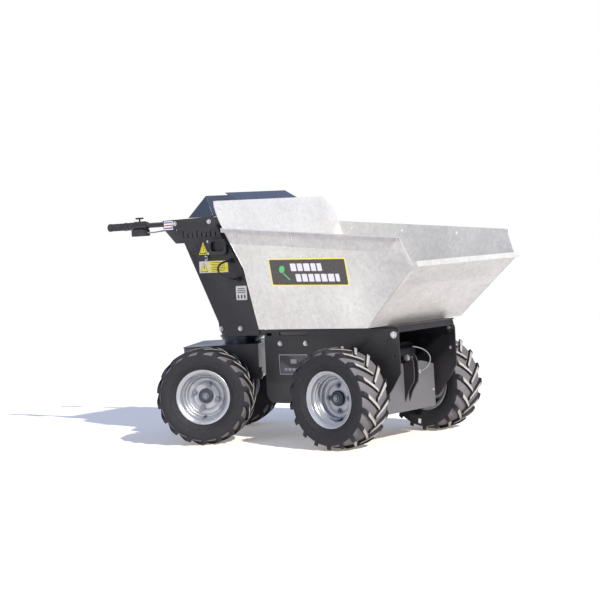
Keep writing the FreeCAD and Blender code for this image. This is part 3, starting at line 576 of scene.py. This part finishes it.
def build_rim(tag, joint, body, outward, turn_deg):
    """Pressed rim: rolled flange, bead seat, drop centre, stepped disc and bolted hub."""
    m = wheel_matrix(joint) @ Matrix.Rotation(math.radians(turn_deg), 4, "Y")

    def outwards(profile):
        return [(r, outward * w) for r, w in profile]

    barrel = [
        (114.0, 66.6), (116.0, 65.2), (116.0, 63.2), (112.0, 61.8), (106.0, 60.6), (101.6, 56.8),
        (101.6, 41.0), (97.0, 34.5), (97.0, -34.5), (101.6, -41.0), (101.6, -56.8), (106.0, -60.6),
        (112.0, -61.8), (116.0, -63.2), (116.0, -65.2), (114.0, -66.6), (110.0, -65.6),
        (103.6, -61.6), (98.6, -57.6), (98.4, -42.2), (93.8, -36.0), (93.8, 36.0), (98.4, 42.2),
        (98.6, 57.6), (103.6, 61.6), (110.0, 65.6),
    ]
    disc_front = [
        (94.6, 30.0), (91.0, 27.5), (88.6, 17.0), (85.8, 12.8), (82.4, 11.2), (79.2, 3.0),
        (75.0, -2.0), (68.0, -4.2), (60.0, -3.0), (54.0, 0.8), (40.0, 1.6), (28.0, 1.6),
    ]
    disc_back = [(r, w - 4.0) for r, w in disc_front[::-1]]
    hub = [
        (16.0, 2.0), (27.5, 2.0), (27.5, -16.0), (38.0, -22.0), (38.0, -52.0), (16.0, -52.0),
    ]
    bm = bmesh.new()
    for outline in (barrel, disc_front + disc_back, hub):
        lathe(bm, outwards(outline), m, 112)
    mesh = finish_mesh(bm, "rim_shell_" + tag, 30)
    obj = add_object("rim_shell_" + tag, mesh, body, [FINISHES["rim"]])
    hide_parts("rim_" + tag)
    rounded(obj, 0.9, 2, 28)
    # four nuts, each with its washer and the end of its stud, in darkened zinc; the washer's ring round each nut
    # is painted shade for the gap around it
    bm = bmesh.new()
    for i in range(4):
        a = math.radians(90 * i)
        foot = Vector((STUD_R * math.sin(a), 0, STUD_R * math.cos(a))) * MM
        foot = m @ Matrix.Translation(foot)
        lathe(bm, outwards([(5.0, 0.8), (13.5, 0.8), (13.5, 2.8), (5.0, 2.8)]), foot, 28)
        prism(bm, foot, hexagon(9.8, 12 * i), outward * 2.4, outward * 12.0)
        lathe(bm, outwards([(0.5, 11), (5.4, 11), (5.4, 17), (0.5, 17.5)]), foot, 20)
    mesh = finish_mesh(bm, "wheel_nuts_" + tag)
    rounded(add_object("wheel_nuts_" + tag, mesh, body, [DULL_ZINC_AND_SHADE]), 0.6, 2)
    # dark dust cap over the end of the axle, with a groove and a centre nut
    bm = bmesh.new()
    cap = [
        (23.8, 2.0), (31.5, 2.0), (31.5, 11.0), (29.6, 14.0), (25.0, 15.4), (23.9, 14.9),
        (20.5, 15.4), (13.0, 17.4), (0.5, 17.6), (0.5, 15.4), (19.0, 15.2), (23.8, 11.5),
    ]
    lathe(bm, outwards(cap), m, 56)
    mesh = finish_mesh(bm, "hub_cap_" + tag)
    rounded(add_object("hub_cap_" + tag, mesh, body, [FINISHES["axle_steel"]]), 0.4, 2)
    # centre nut and its washer, in the same darkened zinc as the wheel nuts
    bm = bmesh.new()
    prism(bm, m, hexagon(9.5, 10), outward * 17.3, outward * 22.5)
    lathe(bm, outwards([(11.0, 17.3), (14.5, 17.3), (14.5, 18.8), (11.0, 18.8)]), m, 32)
    mesh = finish_mesh(bm, "hub_nut_" + tag)
    rounded(add_object("hub_nut_" + tag, mesh, body, [DULL_ZINC_AND_SHADE]), 0.5, 2)
    # valve stem, which stands in the drop of the disc
    bm = bmesh.new()
    valve = m @ Matrix.Translation(Vector((22.0, 0, -83.0)) * MM)
    stem = [
        (0.6, 12), (5.0, 12), (4.6, 18), (3.2, 22), (3.2, 37), (3.9, 38), (3.9, 46), (0.6, 47),
    ]
    lathe(bm, outwards(stem), valve, 20)
    mesh = finish_mesh(bm, "valve_" + tag)
    obj = add_object("valve_" + tag, mesh, body, [FINISHES["grip_rubber"]])
    rounded(obj, 0.3, 1)


# tag, spin joint, body, side that the disc faces, turn of the rim in degrees
WHEELS = (
    ("fr", "front_right_spin", "wheel_front_right", -1, 0.0),
    ("fl", "front_left_spin", "wheel_front_left", 1, 0.0),
    ("rr", "rear_right_spin", "wheel_rear_right", -1, 18.0),
    ("rl", "rear_left_spin", "wheel_rear_left", 1, 18.0),
)
for tag, joint, body, outward, turn in WHEELS:
    build_tyre(tag, joint, body, outward)
    build_rim(tag, joint, body, outward, turn)


# ---- plates, boxes and fittings: CAD shapes with rounded edges ------------------------------
SOFT_EDGES = {
    "chassis_side_right": 0.9, "chassis_side_left": 0.9, "chassis_cross_plates": 0.8,
    "rear_tongue": 0.9, "turntable_upper": 0.8, "turntable_lower": 0.8,
    "console_side_right": 0.9, "console_side_left": 0.9, "console_covers": 0.7,
    "console_hood": 1.2, "bracket_plates": 0.9, "bogie_box": 1.0, "bogie_top_plate": 1.0,
    "skip_brackets": 0.8, "skip_guard_plate": 0.8, "guard_box": 0.7, "skip_tub": 0.9,
    "battery_pack": 3.0, "transaxle_case": 2.5, "drive_motor": 2.0, "front_axle": 0.9,
    "rear_axle": 0.9, "throttle_collar": 0.7, "switch_housing": 0.9, "control_pod": 1.2,
    "direction_lever": 0.7, "pod_button": 0.8, "side_handle": 1.6, "throttle_grip": 0.5,
    "grip_left": 0.5, "handle_tube_right": 0.4, "handle_tube_left": 0.4,
    "chassis_bolts": 0.5, "tip_bolts": 0.6, "console_bolts": 0.5, "guard_fasteners": 0.5,
    "skip_guard_bolts": 0.6, "bogie_bolts": 0.5, "cable_glands": 0.5, "handle_hinge": 0.4,
    "key_switch": 0.6, "key": 0.3, "skip_buffers": 1.2, "badge_plate": 0.3,
}
for node, width in SOFT_EDGES.items():
    soften(node, width)


# ---- cables and the thin wire ---------------------------------------------------------------
CON_OUT = 197.0         # from the centre line to the outer face of the console's sides
TUBE_Y = 181.0          # from the centre line to the middle of a handle tube
# Diameter in millimetres and the route from the exit to the far end.
ROUTES = {
    "control_cable": (6.4, [
        (-1152, -TUBE_Y, 905), (-1125, -TUBE_Y, 904), (-1080, -TUBE_Y + 2, 908),
        (-1030, -TUBE_Y + 4, 911), (-980, -TUBE_Y + 12, 903), (-940, -TUBE_Y + 30, 890),
        (-908.5, -TUBE_Y + 45, 884),
    ]),
    "looped_cable": (9.0, [
        (-642, -CON_OUT - 1, 765), (-642, -CON_OUT - 27, 765), (-651, -CON_OUT - 44, 762),
        (-667, -CON_OUT - 55, 751), (-674, -CON_OUT - 58, 733), (-667, -CON_OUT - 56, 712),
        (-646, -CON_OUT - 50, 695), (-617, -CON_OUT - 42, 688), (-605, -CON_OUT - 27, 687),
        (-605, -CON_OUT - 1, 687),
    ]),
    "wire_loop": (5.0, [
        (94.5, 60, 374), (116, 84, 368), (134, 112, 345), (137, 124, 318), (132, 112, 290),
        (128.5, 78, 274), (126.9, 64, 272),
    ]),
}


def as_mesh(obj):
    """The curve's present shape as a mesh of its own."""
    bpy.context.view_layer.update()
    return bpy.data.meshes.new_from_object(obj.evaluated_get(bpy.context.evaluated_depsgraph_get()))


def build_cords():
    """Each cable is a tube along one smooth spline through its route."""
    for node, (diameter, points) in ROUTES.items():
        curve = bpy.data.curves.new(node + "_line", "CURVE")
        curve.dimensions = "3D"
        curve.resolution_u = 12
        curve.bevel_resolution = 4
        curve.use_fill_caps = True
        spline = curve.splines.new("NURBS")
        spline.points.add(len(points) - 1)
        for target, point in zip(spline.points, points):
            target.co = (*at(*point), 1.0)
        spline.order_u = 3
        spline.use_endpoint_u = True
        guide = bpy.data.objects.new(node + "_line", curve)
        bpy.context.scene.collection.objects.link(guide)
        line = as_mesh(guide)
        curve.bevel_depth = diameter / 2 * MM
        tube = as_mesh(guide)
        tube.shade_smooth()
        bpy.data.objects.remove(guide)
        bpy.data.meshes.remove(line)
        tube.materials.clear()
        slot = SLOT_OF[node]
        obj = add_object(node + "_tube", tube, BODY_OF[node], [FINISHES[slot]])
        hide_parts(node)


build_cords()


# ---- painted shade: dark strips behind the row of slots in the console's sides ------------------
def build_slot_shade_strips():
    """A dark strip just inside each console side, standing as painted shade so that the slots look dark."""
    outer, inner = 191.4, 190.6
    bm = bmesh.new()
    m = Matrix.Translation(ORIGIN)
    for side in (-1, 1):
        box_in(bm, m, -927, -712, side * outer, side * inner, 867, 907)
    mesh = finish_mesh(bm, "console_slot_painted_shade")
    add_object("console_slot_painted_shade", mesh, "chassis", [FINISHES["black_powder"]])


build_slot_shade_strips()


# ---- framed badge on the right chassis side --------------------------------------------------
CHASSIS_OUT = 191.5     # from the centre line to the outer face of the chassis sides
BADGE_THICK = 2.4


def build_badge():
    """Thin pale frame on the badge plate, with a row of five plain bars below a larger one."""
    m = Matrix.Translation(at(-335.0, 0, 323.5))
    bm = bmesh.new()
    y0 = -CHASSIS_OUT - BADGE_THICK
    y1 = y0 - 0.3
    for x0, x1, z0, z1 in (
        (-78, 78, 38.5, 42.5), (-78, 78, -42.5, -38.5), (-78, -74, -38.5, 38.5), (74, 78, -38.5, 38.5),
    ):
        box_in(bm, m, x0, x1, y1, y0, z0, z1)
    for i in range(5):
        box_in(bm, m, -52 + 22 * i, -36 + 22 * i, y1 + 1.2, y0 + 1.2, -26, -15)
    box_in(bm, m, -16, 16, y1 + 1.2, y0 + 1.2, 4, 22)
    add_object("badge_print", finish_mesh(bm, "badge_print"), "chassis", [BADGE_INK])


build_badge()


# ---- skip: rims, decals, welds ---------------------------------------------------------------
SIDES = ((-1, "right"), (1, "left"))
SKIP_FLOOR_Z = 480.0
SKIP_HALF = 314.0       # half of the floor's width
SKIP_FLARE = 0.145      # how far each side leans out for each millimetre up
# Corners of the skip's side sheets, as (x, z).
FOLD, LIP, RIM_END = (192.0, 504.0), (432.0, 716.0), (383.0, 830.0)
REAR_LOW, REAR_KINK, REAR_TOP = (-407.0, 480.0), (-438.0, 733.0), (-518.0, 905.0)


def half_width(z):
    """From the centre line to the skip's side sheet at the height z."""
    return SKIP_HALF + SKIP_FLARE * (z - SKIP_FLOOR_Z)


def side_plane(side, x, z):
    """Axes on the flared side of the skip: X forward, Y out of the sheet, Z up the sheet."""
    tilt = -side * math.atan(SKIP_FLARE)
    m = Matrix.Translation(at(x, side * half_width(z), z)) @ Matrix.Rotation(tilt, 4, "X")
    return m @ Matrix.Rotation(math.radians(1.3), 4, "Y")


def build_rim_edges():
    """Darker zinc on the outer faces of the turned-down rims along both sides of the skip, as painted shade."""
    (x0, z0), (x1, z1) = REAR_TOP, RIM_END
    rim_out, low, high, thick = 13.0, -16.6, -2.2, 0.35
    bm = bmesh.new()
    for side in (-1, 1):
        ends = []
        for x, z in ((x0 + 0.5, z0), (x1 - 0.5, z1)):
            y = half_width(z) + rim_out
            ends.append([bm.verts.new(at(x, side * (y + out), z + up))
                         for out, up in ((0.0, low), (thick, low), (thick, high), (0.0, high))])
        for k in range(4):
            bm.faces.new((ends[0][k], ends[0][(k + 1) % 4], ends[1][(k + 1) % 4], ends[1][k]))
        for end in ends:
            bm.faces.new(end)
    mesh = finish_mesh(bm, "skip_rim_edges")
    add_object("skip_rim_edges", mesh, "skip", [SHADED_RIM_ZINC])


def build_decals():
    """Dark slanted panel with a yellow border, two rows of plain bars and a green spot."""
    for side, word in SIDES:
        m = side_plane(side, -94.0, 710.0)
        bm = bmesh.new()
        prism(bm, m, rounded_outline(0, 0, 402, 113, 8, 5), side * 0.02, side * 0.45, 0)
        prism(bm, m, rounded_outline(0, 0, 392, 103, 6, 5), side * 0.30, side * 0.70, 1)
        top, low = side * 0.60, side * 0.95
        x = -92.0
        for width in (36, 33, 38, 32, 30):
            prism(bm, m, rounded_outline(x + width / 2, 20, width - 7, 31, 3, 3), top, low, 2)
            x += width
        x = -70.0
        for width in (33, 34, 33, 33, 35, 38, 26):
            prism(bm, m, rounded_outline(x + width / 2, -23, width - 7, 31, 3, 3), top, low, 2)
            x += width
        spot = []
        for t in (math.radians(d) for d in range(0, 360, 24)):
            across = 17 * math.cos(t) * (1 if abs(math.sin(t)) < 0.9 else 0.8)
            spot.append((across, 12 * math.sin(t)))
        slanted = [(-136 + x * 0.75 - z * 0.55, 12 + z + x * 0.55) for x, z in spot]
        prism(bm, m, slanted, top, low, 3)
        prism(bm, m, [(-132, -6), (-128, -3), (-98, -30), (-102, -33)], top, low, 3)
        mesh = finish_mesh(bm, "skip_decal_" + word)
        obj = add_object("skip_decal_" + word, mesh, "skip",
                         [EDGE_YELLOW, FINISHES["decal_dark"], INK_LIGHT, INK_GREEN])
        if word == "right":
            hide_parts("skip_decals")


WELD_RADIUS = 1.9


def on_side(side, x, z):
    """Point on the skip's side sheet, sunk a little into it."""
    return at(x, side * (half_width(z) - 0.4), z)


def weld_bead(name, a, b, seed):
    """A run of small overlapping ripples between two points."""
    rng = random.Random(seed)
    radius = WELD_RADIUS
    along = (b - a).normalized()
    count = int((b - a).length / (radius * MM * 0.9))
    side = along.cross(Vector((0.3, 0.2, 1))).normalized()
    up = along.cross(side)
    bm = bmesh.new()
    previous = None
    for i in range(count + 1):
        c = a + (b - a) * i / count
        swell = radius * MM * (1.0 + 0.22 * math.sin(i * 2.1) + rng.uniform(-0.12, 0.12))
        ring = []
        for k in range(8):
            t = 2 * math.pi * k / 8
            ring.append(bm.verts.new(c + (side * math.cos(t) + up * math.sin(t)) * swell))
        if previous:
            for k in range(8):
                m = (k + 1) % 8
                bm.faces.new((previous[k], previous[m], ring[m], ring[k]))
        else:
            bm.faces.new(ring)
        previous = ring
    bm.faces.new(previous)
    add_object(name, finish_mesh(bm, name, 70), "skip", [WELD])


build_rim_edges()
build_decals()
for side, word in SIDES:
    weld_bead("weld_front_" + word, on_side(side, FOLD[0] - 1, FOLD[1] + 1),
              on_side(side, LIP[0] - 3, LIP[1] - 2), 3 + side)
    weld_bead("weld_rear_low_" + word, on_side(side, REAR_LOW[0] + 1, REAR_LOW[1] + 6),
              on_side(side, REAR_KINK[0] + 1, REAR_KINK[1]), 5 + side)
    weld_bead("weld_rear_top_" + word, on_side(side, REAR_KINK[0] + 1, REAR_KINK[1]),
              on_side(side, REAR_TOP[0] + 3, REAR_TOP[1] - 8), 7 + side)


# ---- labels --------------------------------------------------------------------------------
def flat_label(name, node, layers):
    """Stands for a label. Layers are (outline, height above the console's side, material)."""
    bm = bmesh.new()
    materials = []
    m = Matrix.Translation(ORIGIN)
    for outline, rise, material in layers:
        if material not in materials:
            materials.append(material)
        prism(bm, m, outline, -CON_OUT, -CON_OUT - rise, materials.index(material))
    obj = add_object(name, finish_mesh(bm, name), "chassis", materials)
    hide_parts(node)


def triangle(cx, cz, size):
    """Upright triangle about its middle, size is half its foot."""
    return [(cx - size, cz - size * 0.85), (cx + size, cz - size * 0.85), (cx, cz + size * 1.1)]


def rect(cx, cz, w, h, r=0.5):
    """Plain printed bar."""
    return rounded_outline(cx, cz, w, h, r)


YELLOW, PALE = FINISHES["label_yellow"], FINISHES["label_pale"]
flat_label("sign_triangle", "label_triangle", [
    (triangle(-805, 820, 27.5), 0.5, YELLOW),
    (triangle(-805, 818.5, 21.5), 0.7, INK_DARK),
    (triangle(-805, 818.5, 17.0), 0.9, YELLOW),
    (rect(-805, 818, 3.4, 17, 1.5), 1.1, INK_DARK),
])
wide = [(rounded_outline(-751, 742.5, 168, 50, 3), 0.5, PALE),
        (rounded_outline(-722, 742.5, 108, 48, 2), 0.7, YELLOW),
        (triangle(-806, 740, 22.0), 0.7, INK_DARK),
        (triangle(-806, 740, 18.5), 0.9, YELLOW),
        (rect(-806, 740, 4, 16, 1.8), 1.1, INK_DARK)]
for k in range(6):
    wide.append((rect(-722 - 3 * (k % 2), 760 - 7.2 * k, 92 - 9 * (k % 3), 2.4), 0.9, INK_DARK))
flat_label("sign_wide", "label_warning", wide)
pale = [(rounded_outline(-599, 627, 62, 60, 6), 0.5, PALE),
        (rounded_outline(-1006, 931, 54, 38, 2), 0.5, INK_LIGHT)]
for k, width in enumerate((40, 46, 46)):
    pale.append((rect(-599, 645 - 8 * k, width, 3.2), 0.8, INK_DARK))
for k in range(3):
    pale.append((rect(-617 + 18 * k, 611, 8, 16, 3), 0.8, INK_DARK))
for k in range(3):
    pale.append((rect(-1006, 943 - 12 * k, 50, 5), 0.7, INK_RED if k == 1 else INK_BLUE))
flat_label("signs_pale", "labels_pale", pale)


# ---- stage: floor, light, camera -------------------------------------------------------------
SKY = (1.0, 1.0, 1.0)   # what the camera sees behind the machine
SKY_STRENGTH = 0.62     # of the gradient that lights it
FLOOR = (0.90, 0.85, 0.81)
FLOOR_GLOW = 0.20
FADE_FROM, FADE_TO = 3.0, 7.5   # metres over which the floor fades into the sky
SUN_FROM = (1.0, -0.36, 0.68)
CAMERA_AT = (4533, -5767, 907)
CAMERA_TURN = (39.996, -2.495, -3.532)  # yaw, pitch and roll in degrees


def build_floor():
    """Pale ground that glows a little and fades into the sky."""
    bm = bmesh.new()
    bmesh.ops.create_circle(bm, cap_ends=True, segments=96, radius=40)
    mesh = bpy.data.meshes.new("floor")
    bm.to_mesh(mesh)
    bm.free()
    floor = bpy.data.objects.new("floor", mesh)
    bpy.context.scene.collection.objects.link(floor)
    s = Surface("floor_pale", FLOOR, 0.9, specular=0.0)
    s.bsdf.inputs["Emission Color"].default_value = (1.0, 0.93, 0.80, 1)
    s.bsdf.inputs["Emission Strength"].default_value = FLOOR_GLOW
    length = s.node("ShaderNodeVectorMath", operation="LENGTH")
    s.link(s.coord, length.inputs[0])
    fade = s.node("ShaderNodeMapRange", interpolation_type="SMOOTHSTEP")
    fade.inputs["From Min"].default_value = FADE_FROM
    fade.inputs["From Max"].default_value = FADE_TO
    s.link(length.outputs["Value"], fade.inputs["Value"])
    glow = s.node("ShaderNodeEmission")
    glow.inputs["Color"].default_value = (*SKY, 1)
    mix = s.node("ShaderNodeMixShader")
    s.link(fade.outputs["Result"], mix.inputs["Fac"])
    s.link(s.bsdf.outputs[0], mix.inputs[1])
    s.link(glow.outputs[0], mix.inputs[2])
    out = [n for n in s.tree.nodes if n.type == "OUTPUT_MATERIAL"][0]
    s.link(mix.outputs[0], out.inputs["Surface"])
    mesh.materials.append(s.mat)


def build_light():
    """Low warm sun, a blue sky that only lights, and a soft fill from the near side."""
    scene = bpy.context.scene
    world = bpy.data.worlds.new("studio")
    world.use_nodes = True
    tree = world.node_tree
    seen = tree.nodes["Background"]
    seen.inputs["Color"].default_value = (*SKY, 1)
    lit = tree.nodes.new("ShaderNodeBackground")
    lit.inputs["Strength"].default_value = SKY_STRENGTH
    place = tree.nodes.new("ShaderNodeTexCoord")
    height = tree.nodes.new("ShaderNodeSeparateXYZ")
    ramp = tree.nodes.new("ShaderNodeValToRGB")
    ramp.color_ramp.elements[0].position = 0.0
    ramp.color_ramp.elements[0].color = (0.86, 0.90, 1.0, 1)
    ramp.color_ramp.elements[1].position = 0.85
    ramp.color_ramp.elements[1].color = (0.30, 0.47, 0.92, 1)
    path = tree.nodes.new("ShaderNodeLightPath")
    mix = tree.nodes.new("ShaderNodeMixShader")
    tree.links.new(place.outputs["Generated"], height.inputs[0])
    tree.links.new(height.outputs["Z"], ramp.inputs["Fac"])
    tree.links.new(ramp.outputs["Color"], lit.inputs["Color"])
    tree.links.new(path.outputs["Is Camera Ray"], mix.inputs["Fac"])
    tree.links.new(lit.outputs[0], mix.inputs[1])
    tree.links.new(seen.outputs[0], mix.inputs[2])
    tree.links.new(mix.outputs[0], tree.nodes["World Output"].inputs["Surface"])
    scene.world = world
    scene.view_settings.view_transform = "Standard"

    def lamp(name, kind, energy, color, direction, size, distance=6.0):
        data = bpy.data.lights.new(name, kind)
        data.energy = energy
        data.color = color
        obj = bpy.data.objects.new(name, data)
        d = Vector(direction).normalized()
        obj.rotation_euler = d.to_track_quat("Z", "Y").to_euler()
        obj.location = Vector((0.1, 0, 0.5)) + d * distance
        if kind == "SUN":
            data.angle = size
        else:
            data.size = size
        scene.collection.objects.link(obj)

    lamp("key", "SUN", 5.2, (1.0, 0.955, 0.90), SUN_FROM, math.radians(1.0))
    lamp("side_fill", "AREA", 70, (1.0, 0.97, 0.95), (-0.15, -1.0, 0.32), 3.5)


def build_camera():
    """The viewer stands to the right of the pouring end, level with the rim of the skip."""
    yaw, pitch, roll = (math.radians(v) for v in CAMERA_TURN)
    flat = math.cos(pitch)
    view = Vector((-math.sin(yaw) * flat, math.cos(yaw) * flat, math.sin(pitch)))
    level = Vector((math.cos(yaw), math.sin(yaw), 0))
    upright = level.cross(view)
    right = math.cos(roll) * level + math.sin(roll) * upright
    up = math.cos(roll) * upright - math.sin(roll) * level
    data = bpy.data.cameras.new("camera")
    data.sensor_width = 36.0
    data.lens = 107.38
    data.shift_x = -0.04198
    data.shift_y = -0.0008
    cam = bpy.data.objects.new("camera", data)
    m = Matrix((right, up, -view)).transposed().to_4x4()
    m.translation = at(*CAMERA_AT)
    cam.matrix_world = m
    bpy.context.scene.collection.objects.link(cam)
    bpy.context.scene.camera = cam


build_floor()
build_light()
build_camera()

bpy.context.view_layer.update()
